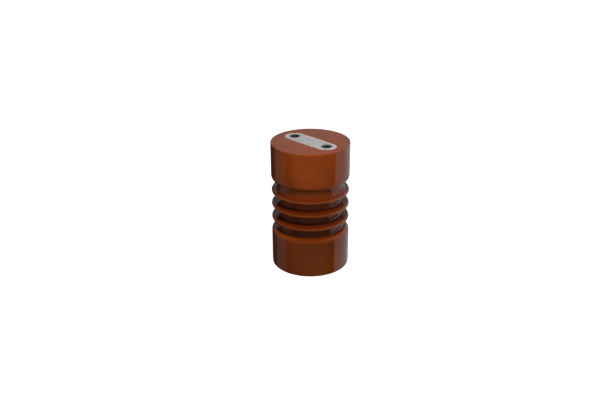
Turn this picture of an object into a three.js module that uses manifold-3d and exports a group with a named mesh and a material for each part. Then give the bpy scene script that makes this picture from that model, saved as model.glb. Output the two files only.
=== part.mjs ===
// Indoor post insulator that carries a busbar: a ribbed porcelain body, with a threaded steel
// fitting set in cement in each end.
// Millimetres, +Z up. The origin is the centre of the base's bottom face, and the bar that
// holds the two busbar bolts lies along X.

import * as THREE from "three";
import { mergeVertices } from "three/addons/utils/BufferGeometryUtils.js";
import Module from "manifold-3d";

const wasm = await Module();
wasm.setup();

// Porcelain body
const HEIGHT = 130;
const BODY_RADIUS = 39.3; // head and base
const RIB_RADIUS = 39.05;
const WALL_RADII = [32, 30, 30, 34]; // of the grooves' upright walls, from the base up
const MIDDLE_RIB = 65.5; // height of the middle rib
const RIB_PITCH = 14.3;
const RIB_COUNT = 3;
const RIB_ROUND = 1.7; // the rim of a rib is a full round
const LAND = 25.9; // from the middle rib up to the head's underside and down to the base's top
const HEAD_ROUND = 4.7; // lower edge of the head
const SHOULDER_ROUND = 3.8; // upper edge of the base
const ROOT_ROUND = 1.5; // where a groove's wall meets its flanks
const END_ROUND = 0.5; // top rim and bottom edge
const FLANK = 8; // slope of every flank, in degrees: each groove narrows towards its wall

// Top fitting: a bar flush with the head's top, and a blind bush under each of its two threads
const BAR_LENGTH = 61;
const BAR_WIDTH = 18;
const BAR_THICKNESS = 8;
const BAR_CHAMFER = 0.5;
const BOLT_SPACING = 44;
const BOLT_THREAD = { drill: 4.25, mouth: 5.3 }; // M10
const BUSH_RADIUS = 7.5;
const TOP_POCKET_DEPTH = 30;

// Base fitting: a hexagonal blind bush on the axis, flush with the bottom face
const STUD_THREAD = { drill: 7, mouth: 8.3 }; // M16
const HEX_ACROSS_FLATS = 27;
const HEX_LENGTH = 30;
const BASE_POCKET_RADIUS = 18;

// Common to both fittings
const DRILL_POINT = 31; // slope of a drilled hole's end, in degrees
const BLIND_WALL = 2; // steel left under the drill point
const JOINT = 1.2; // from the bar to the porcelain round it
const CEMENT_RECESS = 0.4; // below the end face
const PAD_THICKNESS = 2;
const GAP = 0.3; // between neighbouring pieces
const GROOVE_WIDTH = 3; // turned grooves that key a bush into the cement
const GROOVE_DEPTH = 1;
const OVERSHOOT = 1; // how far a cutter passes the face that it opens

// Facets
const BODY_SEGMENTS = 48;
const BUSH_SEGMENTS = 24;
const ROUND_STEPS = 5;
const ROOT_STEPS = 3;
const END_STEPS = 2;

const BASE_TOP = MIDDLE_RIB - LAND;
const HEAD_UNDERSIDE = MIDDLE_RIB + LAND;
const TOP_POCKET_FLOOR = HEIGHT - TOP_POCKET_DEPTH;
const TOP_PAD_TOP = TOP_POCKET_FLOOR + GAP + PAD_THICKNESS;
const BUSH_BOTTOM = TOP_PAD_TOP + GAP;
const BUSH_TOP = HEIGHT - BAR_THICKNESS - GAP;
const BASE_POCKET_DEPTH = HEX_LENGTH + PAD_THICKNESS + 2 * GAP;

const { degToRad } = THREE.MathUtils;

const materials = {
  glaze: new THREE.MeshStandardMaterial({ color: 0x74331a, roughness: 0.18, metalness: 0 }),
  steel: new THREE.MeshStandardMaterial({ color: 0xb4b3b6, roughness: 0.42, metalness: 1 }),
  cement: new THREE.MeshStandardMaterial({ color: 0xc6bfb0, roughness: 0.95, metalness: 0 }),
  cork: new THREE.MeshStandardMaterial({ color: 0x9c7248, roughness: 0.9, metalness: 0 }),
};

// Turns a closed three.js geometry into a manifold solid.
function solid(geometry) {
  const bare = geometry.clone();
  bare.deleteAttribute("normal");
  bare.deleteAttribute("uv");
  const merged = mergeVertices(bare, 1e-4);
  const corners = merged.index.array;
  const triangles = [];
  for (let i = 0; i < corners.length; i += 3) {
    const [a, b, c] = corners.slice(i, i + 3);
    if (a !== b && b !== c && c !== a) triangles.push(a, b, c);
  }
  return new wasm.Manifold(
    new wasm.Mesh({
      numProp: 3,
      vertProperties: merged.attributes.position.array,
      triVerts: new Uint32Array(triangles),
    }),
  );
}

// Makes the named mesh of one piece.
function piece(name, material, shape) {
  const { vertProperties, triVerts } = shape.getMesh();
  const geometry = new THREE.BufferGeometry();
  geometry.setAttribute("position", new THREE.BufferAttribute(vertProperties, 3));
  geometry.setIndex(new THREE.BufferAttribute(triVerts, 1));
  geometry.computeVertexNormals();
  const mesh = new THREE.Mesh(geometry, material);
  mesh.name = name;
  return mesh;
}

// An outline's points are (distance from the axis, height).
function point(radius, height) {
  return new THREE.Vector2(radius, height);
}

// A round in an outline. Angles are in degrees, from straight out towards straight up.
function round(centre, radius, start, end, steps) {
  return Array.from({ length: steps + 1 }, (_, i) => {
    const angle = degToRad(start + ((end - start) * i) / steps);
    return point(centre.x + radius * Math.cos(angle), centre.y + radius * Math.sin(angle));
  });
}

// Revolves an outline, given from the bottom up, about the Z axis.
function revolve(outline, segments) {
  return solid(new THREE.LatheGeometry(outline, segments).rotateX(Math.PI / 2));
}

// A plain upright cylinder.
function cylinder(radius, bottom, top, segments) {
  const outline = [point(0, bottom), point(radius, bottom), point(radius, top), point(0, top)];
  return revolve(outline, segments);
}

// An upright oblong with round ends, lengthwise along X, with its edges chamfered.
function oblong(length, width, bottom, top, chamfer = 0) {
  const end = width / 2;
  const reach = length / 2 - end;
  const outline = new THREE.Shape();
  outline.absarc(reach, 0, end, -Math.PI / 2, Math.PI / 2);
  outline.absarc(-reach, 0, end, Math.PI / 2, (3 * Math.PI) / 2);
  const geometry = new THREE.ExtrudeGeometry(outline, {
    depth: top - bottom - 2 * chamfer,
    curveSegments: BUSH_SEGMENTS / 2,
    bevelEnabled: chamfer > 0,
    bevelSegments: 1,
    bevelThickness: chamfer,
    bevelSize: chamfer,
    bevelOffset: -chamfer,
  });
  return solid(geometry.translate(0, 0, bottom + chamfer));
}

// A groove's wall with a round at its foot and its top, tangent to the flank that rises from
// the edge below and to the one that falls from the edge above.
function grooveWall(below, above, wall) {
  const slope = degToRad(FLANK);
  const foot = below.y + (below.x - wall) * Math.tan(slope);
  const top = above.y - (above.x - wall) * Math.tan(slope);
  const rise = (ROOT_ROUND * (1 - Math.sin(slope))) / Math.cos(slope);
  const low = point(wall + ROOT_ROUND, foot + rise);
  const high = point(wall + ROOT_ROUND, top - rise);
  return [
    ...round(low, ROOT_ROUND, 270 - FLANK, 180, ROOT_STEPS),
    ...round(high, ROOT_ROUND, 180, 90 + FLANK, ROOT_STEPS),
  ];
}

// The body's outline, from the bottom of the axis round to its top.
function bodyOutline() {
  const shoulder = point(BODY_RADIUS - SHOULDER_ROUND, BASE_TOP - SHOULDER_ROUND);
  const headEdge = point(BODY_RADIUS - HEAD_ROUND, HEAD_UNDERSIDE + HEAD_ROUND);
  const edges = [round(shoulder, SHOULDER_ROUND, 0, 90 - FLANK, ROUND_STEPS)];
  for (let i = 0; i < RIB_COUNT; i++) {
    const height = MIDDLE_RIB + (i - (RIB_COUNT - 1) / 2) * RIB_PITCH;
    const centre = point(RIB_RADIUS - RIB_ROUND, height);
    edges.push(round(centre, RIB_ROUND, FLANK - 90, 90 - FLANK, ROUND_STEPS));
  }
  edges.push(round(headEdge, HEAD_ROUND, FLANK - 90, 0, ROUND_STEPS));

  const outline = [point(0, 0)];
  outline.push(...round(point(BODY_RADIUS - END_ROUND, END_ROUND), END_ROUND, -90, 0, END_STEPS));
  edges.forEach((edge, i) => {
    if (i > 0) outline.push(...grooveWall(edges[i - 1].at(-1), edge[0], WALL_RADII[i - 1]));
    outline.push(...edge);
  });
  const rim = point(BODY_RADIUS - END_ROUND, HEIGHT - END_ROUND);
  outline.push(...round(rim, END_ROUND, 0, 90, END_STEPS), point(0, HEIGHT));
  return outline;
}

// The space of a tapped blind hole in an upward face: a drilled hole with a conical end and a
// countersunk mouth. depth is that of the full diameter.
function tappedHole(thread, face, depth) {
  const floor = face - depth;
  const tip = floor - thread.drill * Math.tan(degToRad(DRILL_POINT));
  const sink = thread.mouth - thread.drill;
  return revolve(
    [
      point(0, tip),
      point(thread.drill, floor),
      point(thread.drill, face - sink),
      point(thread.mouth, face),
      point(thread.mouth, face + OVERSHOOT),
      point(0, face + OVERSHOOT),
    ],
    BUSH_SEGMENTS,
  );
}

// Depth of a thread's full diameter in a blind piece that ends at the given depth.
function threadDepth(thread, end) {
  return end - BLIND_WALL - thread.drill * Math.tan(degToRad(DRILL_POINT));
}

// A turned blank with two grooves round it.
function groovedBlank(radius, bottom, top) {
  const outline = [point(0, bottom), point(radius, bottom)];
  for (const share of [1 / 3, 2 / 3]) {
    const middle = bottom + (top - bottom) * share;
    outline.push(
      point(radius, middle - GROOVE_WIDTH / 2),
      point(radius - GROOVE_DEPTH, middle - GROOVE_WIDTH / 2 + GROOVE_DEPTH / 2),
      point(radius - GROOVE_DEPTH, middle + GROOVE_WIDTH / 2 - GROOVE_DEPTH / 2),
      point(radius, middle + GROOVE_WIDTH / 2),
    );
  }
  outline.push(point(radius, top), point(0, top));
  return revolve(outline, BUSH_SEGMENTS);
}

// A hexagonal prism, grown all round by a margin.
function hexCorner(margin) {
  return (HEX_ACROSS_FLATS / 2 + margin) / Math.cos(Math.PI / 6);
}

function hexagon(margin, bottom, top) {
  return cylinder(hexCorner(margin), bottom, top, 6);
}

const sides = { left: -BOLT_SPACING / 2, right: BOLT_SPACING / 2 };

// Both busbar bolt holes, each through the bar and down into the bush below it.
function boltHoles() {
  const hole = tappedHole(BOLT_THREAD, HEIGHT, threadDepth(BOLT_THREAD, HEIGHT - BUSH_BOTTOM));
  return hole.translate([sides.left, 0, 0]).add(hole.translate([sides.right, 0, 0]));
}

function porcelainBody() {
  const topPocket = oblong(
    BAR_LENGTH + 2 * JOINT,
    BAR_WIDTH + 2 * JOINT,
    TOP_POCKET_FLOOR,
    HEIGHT + OVERSHOOT,
  );
  const basePocket = cylinder(BASE_POCKET_RADIUS, -OVERSHOOT, BASE_POCKET_DEPTH, BUSH_SEGMENTS * 2);
  return revolve(bodyOutline(), BODY_SEGMENTS).subtract(topPocket).subtract(basePocket);
}

function topBar() {
  const bar = oblong(BAR_LENGTH, BAR_WIDTH, HEIGHT - BAR_THICKNESS, HEIGHT, BAR_CHAMFER);
  return bar.subtract(boltHoles());
}

function topBush(offset) {
  const blank = groovedBlank(BUSH_RADIUS, BUSH_BOTTOM, BUSH_TOP).translate([offset, 0, 0]);
  return blank.subtract(boltHoles());
}

function topPad() {
  const inset = 2 * (JOINT - GAP);
  return oblong(BAR_LENGTH + inset, BAR_WIDTH + inset, TOP_POCKET_FLOOR + GAP, TOP_PAD_TOP);
}

function topCement() {
  const fill = oblong(
    BAR_LENGTH + 2 * (JOINT - GAP),
    BAR_WIDTH + 2 * (JOINT - GAP),
    BUSH_BOTTOM,
    HEIGHT - CEMENT_RECESS,
  );
  const bar = oblong(
    BAR_LENGTH + 2 * GAP,
    BAR_WIDTH + 2 * GAP,
    HEIGHT - BAR_THICKNESS - GAP,
    HEIGHT + OVERSHOOT,
  );
  const bush = cylinder(BUSH_RADIUS + GAP, BUSH_BOTTOM - OVERSHOOT, HEIGHT, BUSH_SEGMENTS);
  return fill
    .subtract(bar)
    .subtract(bush.translate([sides.left, 0, 0]))
    .subtract(bush.translate([sides.right, 0, 0]));
}

function baseBush() {
  const hole = tappedHole(STUD_THREAD, 0, threadDepth(STUD_THREAD, HEX_LENGTH));
  const blank = groovedBlank(hexCorner(0), 0, HEX_LENGTH);
  return hexagon(0, 0, HEX_LENGTH).intersect(blank).subtract(hole.rotate([180, 0, 0]));
}

function baseCement() {
  const radius = BASE_POCKET_RADIUS - GAP;
  const fill = cylinder(radius, CEMENT_RECESS, HEX_LENGTH, BUSH_SEGMENTS * 2);
  return fill.subtract(hexagon(GAP, -OVERSHOOT, HEX_LENGTH + OVERSHOOT));
}

function basePad() {
  const bottom = HEX_LENGTH + GAP;
  const radius = BASE_POCKET_RADIUS - GAP;
  return cylinder(radius, bottom, bottom + PAD_THICKNESS, BUSH_SEGMENTS * 2);
}

const insulator = new THREE.Group();
insulator.add(
  piece("porcelain_body", materials.glaze, porcelainBody()),
  piece("top_bar", materials.steel, topBar()),
  piece("top_bush_left", materials.steel, topBush(sides.left)),
  piece("top_bush_right", materials.steel, topBush(sides.right)),
  piece("top_cement", materials.cement, topCement()),
  piece("top_pad", materials.cork, topPad()),
  piece("base_bush", materials.steel, baseBush()),
  piece("base_cement", materials.cement, baseCement()),
  piece("base_pad", materials.cork, basePad()),
);

export default insulator;
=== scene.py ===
"""Visual model of the indoor post insulator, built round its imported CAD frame. Metres, +Z up."""

import math

import bmesh
import bpy
import numpy as np
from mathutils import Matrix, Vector


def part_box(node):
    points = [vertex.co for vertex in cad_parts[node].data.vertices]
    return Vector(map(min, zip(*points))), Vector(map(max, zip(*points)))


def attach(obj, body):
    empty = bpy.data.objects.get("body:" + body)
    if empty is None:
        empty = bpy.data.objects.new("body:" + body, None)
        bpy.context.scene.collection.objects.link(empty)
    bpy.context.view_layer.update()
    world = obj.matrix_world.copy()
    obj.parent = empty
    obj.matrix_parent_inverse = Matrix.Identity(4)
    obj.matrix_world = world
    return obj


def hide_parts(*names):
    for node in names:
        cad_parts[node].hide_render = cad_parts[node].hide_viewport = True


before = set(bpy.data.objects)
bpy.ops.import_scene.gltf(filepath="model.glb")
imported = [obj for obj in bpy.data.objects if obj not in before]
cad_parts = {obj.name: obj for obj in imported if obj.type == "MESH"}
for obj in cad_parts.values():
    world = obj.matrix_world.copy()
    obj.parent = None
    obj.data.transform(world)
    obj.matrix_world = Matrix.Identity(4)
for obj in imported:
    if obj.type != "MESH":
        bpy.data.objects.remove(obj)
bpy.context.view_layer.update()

MM = 0.001

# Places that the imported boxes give
BODY_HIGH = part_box("porcelain_body")[1]
BAR_LOW, BAR_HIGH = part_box("top_bar")
BUSH_LOW, BUSH_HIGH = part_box("top_bush_right")
HEX_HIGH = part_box("base_bush")[1]
BASE_PAD_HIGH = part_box("base_pad")[1]
TOP_PAD_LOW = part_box("top_pad")[0]

# Porcelain body, as in part.mjs
HEIGHT = BODY_HIGH.z
BODY_RADIUS = BODY_HIGH.x
RIB_RADIUS = BODY_RADIUS - 0.25 * MM
WALL_RADII = [32 * MM, 30 * MM, 30 * MM, 34 * MM]
MIDDLE_RIB = 65.5 * MM
RIB_PITCH = 14.3 * MM
RIB_ROUND = 1.7 * MM
LAND = 25.9 * MM
HEAD_ROUND = 4.7 * MM
SHOULDER_ROUND = 3.8 * MM
ROOT_ROUND = 1.5 * MM
END_ROUND = 0.5 * MM
FLANK = 8  # degrees

# Fittings, as in part.mjs
BAR_CHAMFER = 0.5 * MM
BAR_HALF_WIDTH = BAR_HIGH.y
BAR_REACH = BAR_HIGH.x - BAR_HALF_WIDTH  # from the axis to the centre of a round end
BOLT_OFFSET = (BUSH_LOW.x + BUSH_HIGH.x) / 2
BUSH_RADIUS = (BUSH_HIGH.x - BUSH_LOW.x) / 2
JOINT = 1.2 * MM
GAP = 0.3 * MM
CEMENT_RECESS = 0.4 * MM
BASE_POCKET_RADIUS = BASE_PAD_HIGH.x + GAP
KEY_WIDTH = 3 * MM
KEY_DEPTH = 1 * MM
DRILL_POINT = 31  # degrees
BLIND_WALL = 2 * MM
BOLT = {"drill": 4.25 * MM, "mouth": 5.3 * MM, "major": 5.0 * MM, "pitch": 1.5 * MM, "face": HEIGHT}
STUD = {"drill": 7.0 * MM, "mouth": 8.3 * MM, "major": 8.0 * MM, "pitch": 2.0 * MM, "face": 0.0}

# Detail that only the visual model has
LIP = 0.3 * MM  # broken edge of a pocket
SEAT = 0.02 * MM  # between pieces that touch
MENISCUS = 0.22 * MM  # depth of the cement's hollow top
HEX_CHAMFER = 1.2 * MM
GRIT = 0.05 * MM  # unevenness of the cement's face
THREAD_FLATS = (0.125, 0.25)  # crest and root, as shares of the pitch
JITTER_SEEDS = (12989.8, 78233.1, 37719.3)  # large, so that near points get unlike values
JITTER_GAIN = 43758.5453

# Fineness of the meshes
BODY_STEPS = 240  # round the body
SMALL_STEPS = 120  # round a fitting
THREAD_STEPS = 72  # round a threaded hole
ROWS_PER_TURN = 10  # along a thread
POCKET_ROWS = 20  # down the wall of a pocket
LIP_STEPS = 4  # round the lip of a pocket
CEMENT_ROWS = 9  # across the cement round the bar
ROUND_STEP = 9  # degrees along a round
LONG_STEP = 1.2 * MM  # along a straight stretch of an outline
EDGE_STEP = 0.12 * MM  # the narrow face beside a round
TINY = 1e-9  # keeps a divisor off zero

# Where the body's flat faces have rings, as shares of the way across
CEILING_SHARES = (0.3, 0.6, 0.9, 0.99, 1.0)  # of the base's pocket, from the axis
FOOT_SHARES = (0.01, 0.25, 0.5, 0.75, 0.99)  # of the foot, outwards
HEAD_SHARES = (0.01, 0.05, 0.15, 0.3, 0.45, 0.6, 0.75, 0.9, 0.98, 1.0)  # of the top, inwards
FLOOR_SHARES = (0.99, 0.7, 0.4)  # of the top pocket's floor, from the axis
BASE_CEMENT_SHARES = (0.2, 0.4, 0.6, 0.8)  # of the base's cement, outwards

# How sharply the outline bends, which the glaze follows
BEND_STEP = 0.05 * MM  # between measurements
BEND_WINDOW = 60  # steps of smoothing each way
BEND_BLUR = 0.9 * MM
LIP_BEND = 0.6
LIP_START_BEND = 0.3


# ---------------------------------------------------------------- outlines and rings


def arc(centre, radius, start, end):
    """Outline points (distance from the axis, height) on a round, from start to end in degrees."""
    count = max(2, round(abs(end - start) / ROUND_STEP)) + 1
    angles = np.radians(np.linspace(start, end, count))
    return [(centre[0] + radius * math.cos(t), centre[1] + radius * math.sin(t)) for t in angles]


def groove_wall(below, above, wall):
    """A groove's wall with a round at its foot and its top, tangent to the two flanks."""
    slope = math.radians(FLANK)
    foot = below[1] + (below[0] - wall) * math.tan(slope)
    top = above[1] - (above[0] - wall) * math.tan(slope)
    rise = ROOT_ROUND * (1 - math.sin(slope)) / math.cos(slope)
    low = (wall + ROOT_ROUND, foot + rise)
    high = (wall + ROOT_ROUND, top - rise)
    return arc(low, ROOT_ROUND, 270 - FLANK, 180) + arc(high, ROOT_ROUND, 180, 90 + FLANK)


def body_side():
    """The body's outline from its bottom edge up to its top rim."""
    shoulder = (BODY_RADIUS - SHOULDER_ROUND, MIDDLE_RIB - LAND - SHOULDER_ROUND)
    head_edge = (BODY_RADIUS - HEAD_ROUND, MIDDLE_RIB + LAND + HEAD_ROUND)
    edges = [arc(shoulder, SHOULDER_ROUND, 0, 90 - FLANK)]
    for i in (-1, 0, 1):
        centre = (RIB_RADIUS - RIB_ROUND, MIDDLE_RIB + i * RIB_PITCH)
        edges.append(arc(centre, RIB_ROUND, FLANK - 90, 90 - FLANK))
    edges.append(arc(head_edge, HEAD_ROUND, FLANK - 90, 0))
    side = arc((BODY_RADIUS - END_ROUND, END_ROUND), END_ROUND, -90, 0)
    for i, edge in enumerate(edges):
        if i > 0:
            side += groove_wall(edges[i - 1][-1], edge[0], WALL_RADII[i - 1])
        side += edge
    return side + arc((BODY_RADIUS - END_ROUND, HEIGHT - END_ROUND), END_ROUND, 0, 90)


def refined(outline):
    """The outline with narrow faces beside its rounds and no long straight stretch."""
    out = [outline[0]]
    for (r0, z0), (r1, z1) in zip(outline, outline[1:]):
        length = math.hypot(r1 - r0, z1 - z0)
        if length > 5 * EDGE_STEP:
            inner = length - 2 * EDGE_STEP
            count = max(1, math.ceil(inner / LONG_STEP))
            for k in range(count + 1):
                share = (EDGE_STEP + inner * k / count) / length
                out.append((r0 + (r1 - r0) * share, z0 + (z1 - z0) * share))
        out.append((r1, z1))
    return out


def bearings(steps):
    """Evenly spaced directions round the axis, from +X towards +Y."""
    return np.arange(steps) * 2 * np.pi / steps


def ring(radius, height, steps, centre_x=0.0):
    """Points at the given distance from an upright axis, which may change from bearing to bearing."""
    angles = bearings(steps)
    x = centre_x + radius * np.cos(angles)
    y = radius * np.sin(angles)
    return np.column_stack([x, y, np.full(steps, height)])


def oblong(grow, steps):
    """The bar's outline, grown all round, as its distance from the axis at each bearing."""
    cos = np.abs(np.cos(bearings(steps)))
    sin = np.maximum(np.abs(np.sin(bearings(steps))), TINY)
    half = BAR_HALF_WIDTH + grow
    on_side = half / sin
    on_end = BAR_REACH * cos + np.sqrt(np.maximum(half**2 - (BAR_REACH * sin) ** 2, 0))
    return np.where(on_side * cos <= BAR_REACH, on_side, on_end)


def hexagon(grow, steps):
    """The base bush's outline, grown all round, as its distance from the axis at each bearing."""
    from_flat = (np.degrees(bearings(steps)) + 30) % 60 - 30
    return (HEX_HIGH.x + grow) / np.cos(np.radians(from_flat))


def thread_rings(thread, start, end, centre_x=0.0, floor=None):
    """Rings of a tapped hole's wall from height start to height end. The helix depends on height
    only, so it runs on from piece to piece, and it fades out towards the hole's floor."""
    turns = abs(end - start) / thread["pitch"]
    heights = np.linspace(start, end, round(turns * ROWS_PER_TURN) + 1)
    crest, root = THREAD_FLATS
    rings = []
    for height in heights:
        phase = (height / thread["pitch"] - bearings(THREAD_STEPS) / (2 * np.pi)) % 1
        depth = np.clip((np.abs(2 * phase - 1) - crest) / (1 - crest - root), 0, 1)
        if floor is not None:
            depth *= min(1, abs(height - floor) / thread["pitch"])
        radius = thread["drill"] + (thread["major"] - thread["drill"]) * depth
        countersink = thread["mouth"] - abs(height - thread["face"])
        rings.append(ring(np.maximum(radius, countersink), height, THREAD_STEPS, centre_x))
    return rings


def keyed(radius, start, end, low, high):
    """Outline of a turned wall from height start to end, with its two keying grooves, which lie
    at a third and two thirds of the way from low to high."""
    middles = sorted((low + (high - low) * share for share in (1 / 3, 2 / 3)), reverse=start > end)
    way = 1 if end > start else -1
    outline = [(radius, start)]
    for middle in middles:
        outline.append((radius, middle - way * KEY_WIDTH / 2))
        outline.append((radius - KEY_DEPTH, middle - way * (KEY_WIDTH - KEY_DEPTH) / 2))
        outline.append((radius - KEY_DEPTH, middle + way * (KEY_WIDTH - KEY_DEPTH) / 2))
        outline.append((radius, middle + way * KEY_WIDTH / 2))
    return outline + [(radius, end)]


def unevenness(points):
    """A repeatable jitter from -1 to 1 for each point."""
    seeds = points @ np.array(JITTER_SEEDS)
    return 2 * ((np.sin(seeds) * JITTER_GAIN) % 1) - 1


# ---------------------------------------------------------------- meshes


class Skin:
    """A closed mesh made of rings, tips and flat faces with holes in them."""

    def __init__(self):
        self.points = []
        self.faces = []
        self.flats = []
        self.bores = set()

    def add(self, points):
        """Adds points and returns their numbers."""
        first = len(self.points)
        self.points += [tuple(map(float, p)) for p in points]
        return list(range(first, len(self.points)))

    def join(self, first, second, bore=False):
        """A strip of faces from one ring to the next. It faces away from the axis if the second
        ring is above the first, and towards the axis if it is below."""
        n = len(first)
        for i in range(n):
            j = (i + 1) % n
            if bore:
                self.bores.add(len(self.faces))
            self.faces.append((first[i], first[j], second[j], second[i]))

    def stack(self, rings, bore=False):
        """Adds rings, joins each to the next, and returns the first and the last."""
        added = [self.add(r) for r in rings]
        for first, second in zip(added, added[1:]):
            self.join(first, second, bore)
        return added[0], added[-1]

    def tip(self, rim, height, centre_x=0.0, opens=False):
        """Closes a ring with a fan to a point on its axis: after the last ring, or before the
        first one if opens is true."""
        point = self.add([(centre_x, 0, height)])[0]
        n = len(rim)
        for i in range(n):
            a, b = rim[i], rim[(i + 1) % n]
            self.faces.append((b, a, point) if opens else (a, b, point))

    def plate(self, loops, upward):
        """A flat face between an outer ring and the holes inside it."""
        self.flats.append((loops, upward))

    def make(self, name, materials, replaced, crease=35):
        """The finished object, which rides on the root body in place of a CAD node. An edge
        sharper than crease, in degrees, stays sharp."""
        build = bmesh.new()
        verts = [build.verts.new(p) for p in self.points]
        for i, corners in enumerate(self.faces):
            face = build.faces.new([verts[c] for c in corners])
            face.material_index = 1 if i in self.bores else 0
        for loops, upward in self.flats:
            edges = []
            for loop in loops:
                for a, b in zip(loop, loop[1:] + loop[:1]):
                    pair = (verts[a], verts[b])
                    edges.append(build.edges.get(pair) or build.edges.new(pair))
            normal = Vector((0, 0, 1 if upward else -1))
            fill = bmesh.ops.triangle_fill(build, edges=edges, use_beauty=True, normal=normal)
            for face in fill["geom"]:
                if isinstance(face, bmesh.types.BMFace):
                    face.normal_update()
                    if face.normal.dot(normal) < 0:
                        face.normal_flip()
        mesh = bpy.data.meshes.new(name)
        build.to_mesh(mesh)
        build.free()
        for polygon in mesh.polygons:
            polygon.use_smooth = True
        mesh.set_sharp_from_angle(angle=math.radians(crease))
        for material in materials:
            mesh.materials.append(material)
        obj = bpy.data.objects.new(name, mesh)
        bpy.context.scene.collection.objects.link(obj)
        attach(obj, "root")
        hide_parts(replaced)
        return obj


# ---------------------------------------------------------------- materials


class Nodes:
    """Builds one node tree. A socket or a constant may be given for any input."""

    def __init__(self, tree):
        self.tree = tree

    def add(self, kind, inputs=None, **settings):
        """A node with its settings made and its inputs linked or set, by name or number."""
        node = self.tree.nodes.new(kind)
        for name, value in settings.items():
            setattr(node, name, value)
        for name, value in (inputs or {}).items():
            if isinstance(value, bpy.types.NodeSocket):
                self.tree.links.new(value, node.inputs[name])
            else:
                node.inputs[name].default_value = value
        return node

    def maths(self, operation, a, b):
        return self.add("ShaderNodeMath", {0: a, 1: b}, operation=operation).outputs[0]

    def spread(self, value, low, high, to_low=0.0, to_high=1.0):
        """value, from its range low to high, taken smoothly to another range and held there."""
        inputs = {0: value, 1: low, 2: high, 3: to_low, 4: to_high}
        return self.add("ShaderNodeMapRange", inputs, interpolation_type="SMOOTHSTEP").outputs[0]

    def place(self, stretch=(1, 1, 1)):
        """The place on the object in metres, stretched along its axes."""
        coordinates = self.add("ShaderNodeTexCoord").outputs["Object"]
        return self.add("ShaderNodeMapping", {"Vector": coordinates, "Scale": stretch}).outputs[0]

    def noise(self, size, stretch=(1, 1, 1), detail=2.0, roughness=0.5):
        """Noise with features about size across, from 0 to 1."""
        inputs = {
            "Vector": self.place(stretch),
            "Scale": 1 / size,
            "Detail": detail,
            "Roughness": roughness,
        }
        return self.add("ShaderNodeTexNoise", inputs).outputs[0]

    def cells(self, size, feature="F1", output="Distance"):
        """Cells about size across: their distance or colour."""
        inputs = {"Vector": self.place(), "Scale": 1 / size}
        return self.add("ShaderNodeTexVoronoi", inputs, feature=feature).outputs[output]

    def blend(self, share, first, second):
        """A colour from first to second."""
        node = self.add("ShaderNodeMix", data_type="RGBA")
        for name, value in (("Factor_Float", share), ("A_Color", first), ("B_Color", second)):
            socket = next(s for s in node.inputs if s.identifier == name)
            if isinstance(value, bpy.types.NodeSocket):
                self.tree.links.new(value, socket)
            else:
                socket.default_value = value
        return next(s for s in node.outputs if s.identifier == "Result_Color")

    def blend_value(self, share, first, second):
        """A value from first to second."""
        inputs = {0: share, 2: first, 3: second}
        return self.add("ShaderNodeMix", inputs, data_type="FLOAT").outputs[0]

    def bump(self, height, distance, normal=None):
        """A normal bent by a height of 0 to 1 that stands for the distance in metres."""
        inputs = {"Height": height, "Distance": distance, "Strength": 1.0}
        if normal is not None:
            inputs["Normal"] = normal
        return self.add("ShaderNodeBump", inputs).outputs[0]


def shade(red, green, blue):
    """A linear colour."""
    return (red, green, blue, 1.0)


def new_material(name, **constants):
    """A node material with its shader's constants set, and the means to build the rest."""
    material = bpy.data.materials.new(name)
    material.use_nodes = True
    shader = material.node_tree.nodes["Principled BSDF"]
    for key, value in constants.items():
        shader.inputs[key.replace("_", " ")].default_value = value
    return material, shader, Nodes(material.node_tree)


NOISE_MIDDLE = (0.3, 0.7)  # the range that holds most of a noise

GLAZE_DARK = shade(0.228, 0.0395, 0.0035)
GLAZE_LIGHT = shade(0.285, 0.0525, 0.0045)
GLAZE_FLECK = shade(0.21, 0.035, 0.004)
GLAZE_THIN = shade(0.33, 0.078, 0.012)
# darker glaze: pooled in the hollow rounds, and painted shade on the ledges among the ribs
GLAZE_POOL_AND_LEDGE_SHADE = shade(0.14, 0.017, 0.002)
GLAZE_SPECK = shade(0.09, 0.018, 0.004)
GLAZE_ROUGHNESS = (0.055, 0.13)
GLAZE_CLOUD = 26 * MM
GLAZE_MOTTLE = 2.2 * MM
GLAZE_SMEAR = 14 * MM
SMEAR_STRETCH = (1, 1, 2.5)
SPECK_SPACING = 2.6 * MM
SPECK_EDGE = (0.10, 0.05)  # outside and inside, as shares of the spacing
SPECK_ROUGHNESS = 0.2
WAVE_SIZE = 11 * MM
WAVE_DEPTH = 0.035 * MM
PEEL_SIZE = 1.3 * MM
PEEL_DEPTH = 0.0035 * MM
BEND_SEEN = 0.15  # the least bend that changes the glaze
SHADED_LEDGE_FACING = (0.3, 0.95)  # how far up a ledge faces, from none to all of its painted shade
FLECK_SHARE = 0.3  # how much of each colour shows where it is strongest
THIN_SHARE = 0.4
POOL_SHARE = 0.5
# painted shade on the ledges among the ribs
LEDGE_SHADE_SHARE = 0.8
SPECK_SHARE = 0.55

BAR_LIGHT = shade(0.94, 0.94, 0.955)
BAR_DARK = shade(0.80, 0.80, 0.82)
# painted shade: the threaded holes' steel is far darker than the bar's, for the shade inside the
# holes
SHADED_BORE_LIGHT = shade(0.18, 0.18, 0.175)
SHADED_BORE_DARK = shade(0.08, 0.08, 0.078)
STEEL_METALLIC = 0.72
SCRATCH_WIDTH = 0.35 * MM
SCRATCH_DEPTH = 0.006 * MM
SCRATCH_SHARE = 0.35

CEMENT_LIGHT = shade(0.80, 0.72, 0.62)
CEMENT_DARK = shade(0.55, 0.49, 0.42)
CEMENT_STAIN = shade(0.50, 0.40, 0.31)
CEMENT_ROUGHNESS = (0.78, 0.95)
STAIN_SHARE = 0.6
STAIN_SIZE = 4 * MM
SAND_SIZE = 0.45 * MM
PIT_SIZE = 0.5 * MM
PIT_DEPTH = 0.08 * MM

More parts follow.
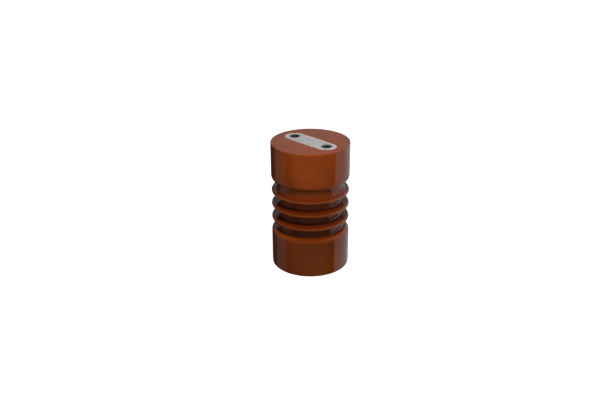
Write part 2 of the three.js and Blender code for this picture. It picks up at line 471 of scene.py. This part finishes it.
CORK_LIGHT = shade(0.45, 0.27, 0.13)
CORK_DARK = shade(0.25, 0.13, 0.06)
CORK_SEAM = shade(0.08, 0.04, 0.02)
CORK_ROUGHNESS = (0.8, 0.95)
GRANULE_SIZE = 1.6 * MM
SEAM_WIDTH = 0.12  # as a share of a granule
SEAM_DEPTH = 0.15 * MM


def ledge_shade(n):
    """How far a place lies on a ledge among the ribs, which the ribs above shade: the mask of the
    painted shade, from 0 to 1.
    """
    facing = n.add("ShaderNodeNewGeometry").outputs["Normal"]
    up = n.add("ShaderNodeSeparateXYZ", {0: facing}).outputs["Z"]
    place = n.add("ShaderNodeTexCoord").outputs["Object"]
    height = n.add("ShaderNodeSeparateXYZ", {0: place}).outputs["Z"]
    below_head = n.spread(height, HEIGHT - LAND / 2, MIDDLE_RIB + LAND)
    above_base = n.spread(height, MIDDLE_RIB - LAND, MIDDLE_RIB - RIB_PITCH)
    among_ribs = n.maths("MULTIPLY", below_head, above_base)
    return n.maths("MULTIPLY", n.spread(up, *SHADED_LEDGE_FACING), among_ribs)


def glaze():
    """Glossy red-brown glaze: mottled, thin and warmer on the rounds, darker where glaze pools in
    the groove roots, painted shade on the ledges among the ribs, dark specks, faint orange peel."""
    material, shader, n = new_material("glaze", IOR=1.5)
    bend = n.add("ShaderNodeAttribute", attribute_name="bend").outputs["Fac"]
    clouds = n.noise(GLAZE_CLOUD, detail=2.0)
    mottle = n.noise(GLAZE_MOTTLE, detail=3.0, roughness=0.6)
    body = n.blend(n.spread(clouds, *NOISE_MIDDLE), GLAZE_DARK, GLAZE_LIGHT)
    body = n.blend(n.spread(mottle, 0.4, 0.8, 0.0, FLECK_SHARE), body, GLAZE_FLECK)
    body = n.blend(n.spread(bend, BEND_SEEN, 1.0, 0.0, THIN_SHARE), body, GLAZE_THIN)
    body = n.blend(n.spread(bend, -BEND_SEEN, -1.0, 0.0, POOL_SHARE), body, GLAZE_POOL_AND_LEDGE_SHADE)
    # painted shade: darkens the upward faces among the ribs, where the ribs above shade them
    body = n.blend(n.maths("MULTIPLY", ledge_shade(n), LEDGE_SHADE_SHARE), body, GLAZE_POOL_AND_LEDGE_SHADE)
    specks = n.spread(n.cells(SPECK_SPACING), *SPECK_EDGE)
    body = n.blend(n.maths("MULTIPLY", specks, SPECK_SHARE), body, GLAZE_SPECK)
    n.tree.links.new(body, shader.inputs["Base Color"])

    smears = n.noise(GLAZE_SMEAR, SMEAR_STRETCH, detail=5.0, roughness=0.65)
    rough = n.spread(smears, 0.35, 0.75, *GLAZE_ROUGHNESS)
    rough = n.maths("ADD", rough, n.maths("MULTIPLY", specks, SPECK_ROUGHNESS))
    n.tree.links.new(rough, shader.inputs["Roughness"])

    waves = n.bump(n.noise(WAVE_SIZE, detail=1.0), WAVE_DEPTH)
    peel = n.bump(n.noise(PEEL_SIZE, detail=1.0), PEEL_DEPTH, waves)
    n.tree.links.new(peel, shader.inputs["Normal"])
    return material


def steel(name, light, dark, rough, grain, scale):
    """Dull plated steel with cloudy plating and fine scratches. They run along the axes that
    grain shrinks. rough is the least and the most roughness, and scale the size of the clouds."""
    material, shader, n = new_material(name, Metallic=STEEL_METALLIC)
    lines = n.noise(SCRATCH_WIDTH, grain, detail=3.0, roughness=0.7)
    cloud = n.noise(scale, detail=4.0, roughness=0.6)
    scratched = n.maths("MULTIPLY", lines, SCRATCH_SHARE)
    tone = n.maths("ADD", scratched, n.maths("MULTIPLY", cloud, 1 - SCRATCH_SHARE))
    n.tree.links.new(n.blend(n.spread(tone, 0.35, 0.65), dark, light), shader.inputs["Base Color"])
    low, high = rough
    n.tree.links.new(n.spread(tone, *NOISE_MIDDLE, high, low), shader.inputs["Roughness"])
    n.tree.links.new(n.bump(lines, SCRATCH_DEPTH), shader.inputs["Normal"])
    return material


def cement():
    """Dry cement: sand grains in a paler paste, stained in patches."""
    material, shader, n = new_material("cement")
    grains = n.cells(SAND_SIZE, output="Color")
    patches = n.noise(STAIN_SIZE, detail=4.0)
    paste = n.blend(n.spread(grains, 0.2, 0.8), CEMENT_DARK, CEMENT_LIGHT)
    stained = n.blend(n.spread(patches, 0.45, 0.75, 0.0, STAIN_SHARE), paste, CEMENT_STAIN)
    n.tree.links.new(stained, shader.inputs["Base Color"])
    rough = n.spread(patches, *NOISE_MIDDLE, *CEMENT_ROUGHNESS)
    n.tree.links.new(rough, shader.inputs["Roughness"])
    pits = n.bump(n.noise(PIT_SIZE, detail=4.0, roughness=0.7), PIT_DEPTH)
    n.tree.links.new(pits, shader.inputs["Normal"])
    return material


def cork():
    """Pressed cork: rounded granules in browns, with dark seams between them."""
    material, shader, n = new_material("cork")
    granules = n.cells(GRANULE_SIZE, output="Color")
    seams = n.spread(n.cells(GRANULE_SIZE, feature="DISTANCE_TO_EDGE"), 0.0, SEAM_WIDTH)
    brown = n.blend(granules, CORK_DARK, CORK_LIGHT)
    n.tree.links.new(n.blend(seams, CORK_SEAM, brown), shader.inputs["Base Color"])
    n.tree.links.new(n.spread(granules, 0.0, 1.0, *CORK_ROUGHNESS), shader.inputs["Roughness"])
    n.tree.links.new(n.bump(seams, SEAM_DEPTH), shader.inputs["Normal"])
    return material


GLAZE = glaze()
BAR_STEEL = steel("bar_steel", BAR_LIGHT, BAR_DARK, (0.3, 0.42), (0.04, 1, 1), 7 * MM)
TURNED_STEEL = steel("turned_steel", BAR_LIGHT, BAR_DARK, (0.3, 0.45), (0.1, 0.1, 1), 5 * MM)
# painted shade: the threaded holes take a far darker steel, for the shade inside them
SHADED_BORE_STEEL = steel("shaded_bore_steel", SHADED_BORE_LIGHT, SHADED_BORE_DARK, (0.35, 0.5), (1, 1, 1), 3 * MM)
CEMENT = cement()
CORK = cork()


# ---------------------------------------------------------------- pieces


def bends(outline):
    """How sharply the outline turns at each of its points: towards 1 on a convex round, towards
    -1 on a hollow one, and 0 where it is straight."""
    points = np.array(outline)
    steps = np.hypot(*np.diff(points, axis=0).T)
    along = np.concatenate([[0], np.cumsum(steps)])
    even = np.arange(0, along[-1], BEND_STEP)
    r = np.interp(even, along, points[:, 0])
    z = np.interp(even, along, points[:, 1])
    heading = np.unwrap(np.arctan2(np.diff(z), np.diff(r)))
    turn = np.diff(heading) / BEND_STEP
    reach = np.arange(-BEND_WINDOW, BEND_WINDOW + 1) * BEND_STEP
    window = np.exp(-((reach / BEND_BLUR) ** 2) / 2)
    turn = np.convolve(turn, window / window.sum(), mode="same") * RIB_ROUND
    return np.clip(np.interp(along, even[1:-1], turn), -1, 1)


def make_body():
    """The glazed body, with its two pockets."""
    side = refined(body_side())
    rim_radius, top = side[-1][0], HEIGHT
    pocket = oblong(JOINT, BODY_STEPS)
    floor = TOP_PAD_LOW.z - GAP
    ceiling = BASE_PAD_HIGH.z + GAP
    rings, turn = [], []

    def put(radius, height, bend=0.0):
        rings.append(ring(radius, height, BODY_STEPS))
        turn.append(bend)

    for share in CEILING_SHARES:
        put(BASE_POCKET_RADIUS * share, ceiling)
    for height in np.linspace(ceiling - EDGE_STEP, LIP + EDGE_STEP, POCKET_ROWS):
        put(BASE_POCKET_RADIUS, height)
    lip_angles = np.radians(np.linspace(0, 90, LIP_STEPS + 1))
    for angle in lip_angles:
        lip = LIP * (1 - math.sin(angle))
        put(BASE_POCKET_RADIUS + LIP * (1 - math.cos(angle)), lip, LIP_BEND)
    inner, outer = BASE_POCKET_RADIUS + LIP, side[0][0]
    for share in FOOT_SHARES:
        put(inner + (outer - inner) * share, 0.0)
    for (radius, height), bend in zip(side, bends(side)):
        put(radius, height, bend)
    for share in HEAD_SHARES:
        bend = LIP_START_BEND if share == 1.0 else 0.0
        put(rim_radius + (pocket + LIP - rim_radius) * share, top, bend)
    for angle in lip_angles[1:]:
        lip = LIP * (1 - math.cos(angle))
        put(pocket + LIP * (1 - math.sin(angle)), top - lip, LIP_BEND)
    for height in np.linspace(top - LIP - EDGE_STEP, floor, POCKET_ROWS):
        put(pocket, height)
    for share in FLOOR_SHARES:
        put(pocket * share, floor)

    skin = Skin()
    first, last = skin.stack(rings)
    skin.tip(first, ceiling, opens=True)
    skin.tip(last, floor)
    body = skin.make("body", [GLAZE], "porcelain_body", crease=50)
    values = np.zeros(len(body.data.vertices))
    values[: len(turn) * BODY_STEPS] = np.repeat(turn, BODY_STEPS)
    body.data.attributes.new("bend", "FLOAT", "POINT").data.foreach_set("value", values)


def make_bar():
    """The steel bar with its two countersunk threads."""
    low, high = BAR_LOW.z, BAR_HIGH.z
    rim = oblong(-BAR_CHAMFER, SMALL_STEPS)
    edge = oblong(0, SMALL_STEPS)
    skin = Skin()
    outline = [(rim, low), (edge, low + BAR_CHAMFER), (edge, high - BAR_CHAMFER), (rim, high)]
    bottom, top = skin.stack([ring(r, z, SMALL_STEPS) for r, z in outline])
    mouths, ends = [], []
    for x in (-BOLT_OFFSET, BOLT_OFFSET):
        mouth, end = skin.stack(thread_rings(BOLT, high, low, x), bore=True)
        mouths.append(mouth)
        ends.append(end)
    skin.plate([top, *mouths], upward=True)
    skin.plate([bottom, *ends], upward=False)
    skin.make("bar", [BAR_STEEL, SHADED_BORE_STEEL], "top_bar")


def drill_tip(thread):
    """How far the conical end of a drilled hole goes past its floor."""
    return thread["drill"] * math.tan(math.radians(DRILL_POINT))


def make_bush(side, offset):
    """A round bush under the bar, keyed into the cement, with the bolt's thread running on."""
    low, high = BUSH_LOW.z, BAR_LOW.z - SEAT
    outline = keyed(BUSH_RADIUS - SEAT, low, high, BUSH_LOW.z, BUSH_HIGH.z)
    skin = Skin()
    rings = [ring(r, z, THREAD_STEPS, offset) for r, z in outline]
    first, last = skin.stack(rings)
    skin.tip(first, low, offset, opens=True)
    tip = low + BLIND_WALL
    floor = tip + drill_tip(BOLT)
    mouth, end = skin.stack(thread_rings(BOLT, high, floor, offset, floor), bore=True)
    skin.join(last, mouth)
    skin.tip(end, tip, offset)
    skin.make(f"bush_{side}", [TURNED_STEEL, SHADED_BORE_STEEL], f"top_bush_{side}")


def make_top_cement():
    """Cement round the bar, hollowed a little between bar and porcelain, and round the bushes."""
    low, high = BUSH_LOW.z, HEIGHT - CEMENT_RECESS
    skin = Skin()
    rings = [ring(oblong(JOINT - SEAT, BODY_STEPS), low, BODY_STEPS)]
    for share in np.linspace(1, 0, CEMENT_ROWS):
        across = SEAT + (JOINT - 2 * SEAT) * share
        height = high - MENISCUS * (1 - (2 * share - 1) ** 2) + 0.5 * MENISCUS
        points = ring(oblong(across, BODY_STEPS), height, BODY_STEPS)
        points[:, 2] += GRIT * unevenness(points)
        rings.append(points)
    rings.append(ring(oblong(SEAT, BODY_STEPS), BAR_LOW.z - SEAT, BODY_STEPS))
    outer, inner = skin.stack(rings)
    roof_holes, floor_holes = [], []
    for x in (-BOLT_OFFSET, BOLT_OFFSET):
        wall = keyed(BUSH_RADIUS, BAR_LOW.z - SEAT, low, BUSH_LOW.z, BUSH_HIGH.z)
        start, end = skin.stack([ring(r, z, THREAD_STEPS, x) for r, z in wall])
        roof_holes.append(start)
        floor_holes.append(end)
    skin.plate([inner, *roof_holes], upward=True)
    skin.plate([outer, *floor_holes], upward=False)
    skin.make("cement_top", [CEMENT], "top_cement")


def hex_rings(outline, grow, steps):
    """Rings that follow the hexagon, turned down to the outline's distance from the axis."""
    flats = hexagon(grow, steps)
    return [ring(np.minimum(flats, r + grow), z, steps) for r, z in outline]


def make_base_bush():
    """The hexagonal bush in the base, chamfered, keyed and tapped for the stud."""
    corner, high = HEX_HIGH.y, HEX_HIGH.z
    tip = high - BLIND_WALL
    floor = tip - drill_tip(STUD)
    outline = keyed(corner, HEX_CHAMFER, high - HEX_CHAMFER, 0, high)
    outline = [(corner - HEX_CHAMFER, 0), *outline, (corner - HEX_CHAMFER, high)]
    skin = Skin()
    end, mouth = skin.stack(thread_rings(STUD, floor, 0, floor=floor), bore=True)
    skin.tip(end, tip, opens=True)
    first, last = skin.stack(hex_rings(outline, 0, THREAD_STEPS))
    skin.join(mouth, first)
    skin.tip(last, high)
    skin.make("bush_base", [TURNED_STEEL, SHADED_BORE_STEEL], "base_bush", crease=28)


def make_base_cement():
    """Cement round the base bush, with an uneven face a little inside the bottom."""
    corner, high = HEX_HIGH.y, HEX_HIGH.z
    outer = BASE_POCKET_RADIUS - SEAT
    wall = keyed(corner, high, CEMENT_RECESS, 0, high)
    rings = [ring(outer, CEMENT_RECESS, SMALL_STEPS), ring(outer, high, SMALL_STEPS)]
    rings += hex_rings(wall, SEAT, SMALL_STEPS)
    inner = hexagon(SEAT, SMALL_STEPS)
    for share in BASE_CEMENT_SHARES:
        points = ring(inner + (outer - inner) * share, CEMENT_RECESS, SMALL_STEPS)
        points[:, 2] += GRIT * unevenness(points)
        rings.append(points)
    skin = Skin()
    first, last = skin.stack(rings)
    skin.join(last, first)
    skin.make("cement_base", [CEMENT], "base_cement")


make_body()
make_bar()
make_bush("left", -BOLT_OFFSET)
make_bush("right", BOLT_OFFSET)
make_top_cement()
make_base_bush()
make_base_cement()
for pad in ("top_pad", "base_pad"):
    for material_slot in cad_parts[pad].material_slots:
        material_slot.material = CORK


# ---------------------------------------------------------------- studio

CAMERA_BEARING = math.radians(45)  # from -Y towards +X
CAMERA_DISTANCE = 0.6696  # from the axis, level
CAMERA_HEIGHT = 0.3636
CAMERA_TILT = math.radians(24.22)  # below level
CAMERA_LENS = 42.43
CAMERA_SHIFT = -0.0071
TOWARDS_CAMERA = (math.sin(CAMERA_BEARING), -math.cos(CAMERA_BEARING), 0)
CAMERA_RIGHT = (math.cos(CAMERA_BEARING), math.sin(CAMERA_BEARING), 0)
CLIP_START = 0.01

FLOOR_HALF = 8.0
FLOOR_LIGHT = shade(0.93, 0.93, 0.93)
FLOOR_DARK = shade(0.90, 0.90, 0.90)
FLOOR_GLOW = 0.8
FLOOR_CLOUD = 0.4  # size of its faint changes of tone
WHITE = shade(1, 1, 1)

# The dome's brightness by part. A fade is a range of the dot product with the part's direction.
DOME_FRONT = 0.22
DOME_SIDE = 0.09
DOME_HIGH = 0.05
DOME_BEHIND = 0.22
DOME_UNDER = 0.03
DOME_UNDER_FRONT = 0.12
FRONT_FADE = (0.0, 0.8)
HIGH_FADE = (0.25, 0.45)
BEHIND_FADE = (0.75, 0.92)
BEHIND_UP = 25  # degrees
UNDER_FRONT_FADE = (0.3, 0.8)
HORIZON_FADE = (-0.02, 0.2)
PANEL_FADE = (-0.01, 0.01)
PANELS = [
    {"right": 121, "half_width": 44, "strength": 0.55},  # degrees
    {"right": -99, "half_width": 22, "strength": 0.17},
]

# Lamps: where each one aims and stands, in degrees from the camera's bearing, degrees and metres
SOFTBOX = {"aim": HEIGHT, "right": 5, "up": 56, "distance": 1.0}
SPOT = {"aim": HEIGHT - 0.8 * LAND, "right": 3, "up": 25, "distance": 0.5}


def make_camera():
    data = bpy.data.cameras.new("camera")
    data.lens = CAMERA_LENS
    data.shift_x = CAMERA_SHIFT
    data.clip_start = CLIP_START
    camera = bpy.data.objects.new("camera", data)
    x, y, _ = TOWARDS_CAMERA
    camera.location = (CAMERA_DISTANCE * x, CAMERA_DISTANCE * y, CAMERA_HEIGHT)
    camera.rotation_euler = (math.pi / 2 - CAMERA_TILT, 0, CAMERA_BEARING)
    bpy.context.scene.collection.objects.link(camera)
    bpy.context.scene.camera = camera


def make_floor():
    """A plain pale floor, which throws no light or reflection back on the object."""
    mesh = bpy.data.meshes.new("floor")
    signs = [(-1, -1), (1, -1), (1, 1), (-1, 1)]
    corners = [(x * FLOOR_HALF, y * FLOOR_HALF, 0) for x, y in signs]
    mesh.from_pydata(corners, [], [(0, 1, 2, 3)])
    material, shader, n = new_material("floor", Roughness=0.9)
    tone = n.spread(n.noise(FLOOR_CLOUD), *NOISE_MIDDLE)
    n.tree.links.new(n.blend(tone, FLOOR_DARK, FLOOR_LIGHT), shader.inputs["Base Color"])
    shader.inputs["Emission Color"].default_value = WHITE
    shader.inputs["Emission Strength"].default_value = FLOOR_GLOW
    mesh.materials.append(material)
    floor = bpy.data.objects.new("floor", mesh)
    floor.visible_glossy = False
    floor.visible_diffuse = False
    bpy.context.scene.collection.objects.link(floor)


def bearing(right, up=0.0):
    """The direction at an angle to the right of the camera's bearing and at a height, in degrees."""
    level = Vector(TOWARDS_CAMERA) * math.cos(math.radians(right))
    level += Vector(CAMERA_RIGHT) * math.sin(math.radians(right))
    return level * math.cos(math.radians(up)) + Vector((0, 0, math.sin(math.radians(up))))


def make_dome():
    """What the object mirrors: a dim surround, brighter in front and low behind, with an upright
    panel along the right side and a weaker one along the left. The camera sees it as white."""
    world = bpy.data.worlds.new("studio")
    world.use_nodes = True
    bpy.context.scene.world = world
    n = Nodes(world.node_tree)
    direction = n.add("ShaderNodeTexCoord").outputs["Generated"]

    def along(vector):
        inputs = {0: direction, 1: vector}
        return n.add("ShaderNodeVectorMath", inputs, operation="DOT_PRODUCT").outputs["Value"]

    height = along((0, 0, 1))
    forward = along(bearing(0))
    level = n.spread(forward, *FRONT_FADE, DOME_SIDE, DOME_FRONT)
    level = n.blend_value(n.spread(height, *HIGH_FADE), level, DOME_HIGH)
    under = n.spread(forward, *UNDER_FRONT_FADE, DOME_UNDER, DOME_UNDER_FRONT)
    total = n.blend_value(n.spread(height, *HORIZON_FADE), under, level)
    behind = n.spread(along(bearing(180, BEHIND_UP)), *BEHIND_FADE, 0, DOME_BEHIND)
    total = n.maths("ADD", total, behind)
    for panel in PANELS:
        inside = panel["strength"]
        for side in (-1, 1):
            edge = panel["right"] + side * (90 - panel["half_width"])
            inside = n.maths("MULTIPLY", n.spread(along(bearing(edge)), *PANEL_FADE), inside)
        total = n.maths("ADD", total, inside)
    seen = n.add("ShaderNodeLightPath").outputs["Is Camera Ray"]
    background = world.node_tree.nodes["Background"]
    world.node_tree.links.new(n.blend_value(seen, total, 1.0), background.inputs["Strength"])
    background.inputs["Color"].default_value = WHITE


def make_lamp(name, kind, place, **settings):
    """A lamp aimed at a point on the object's axis. Its light falls softly on the object but
    doesn't mirror in it: the mirror images come from the dome."""
    data = bpy.data.lights.new(name, kind)
    for key, value in settings.items():
        setattr(data, key, value)
    lamp = bpy.data.objects.new(name, data)
    lamp.visible_glossy = False
    lamp.visible_camera = False
    towards = bearing(place["right"], place["up"])
    lamp.location = Vector((0, 0, place["aim"])) + towards * place["distance"]
    lamp.rotation_euler = towards.to_track_quat("Z", "Y").to_euler()
    bpy.context.scene.collection.objects.link(lamp)


make_camera()
make_floor()
make_dome()
make_lamp("softbox", "AREA", SOFTBOX, energy=6.8, size=0.3)
make_lamp(
    "spot",
    "SPOT",
    SPOT,
    energy=3.9,
    shadow_soft_size=0.02,
    spot_size=math.radians(12.5),
    spot_blend=1.0,
)
bpy.context.scene.view_settings.view_transform = "Standard"
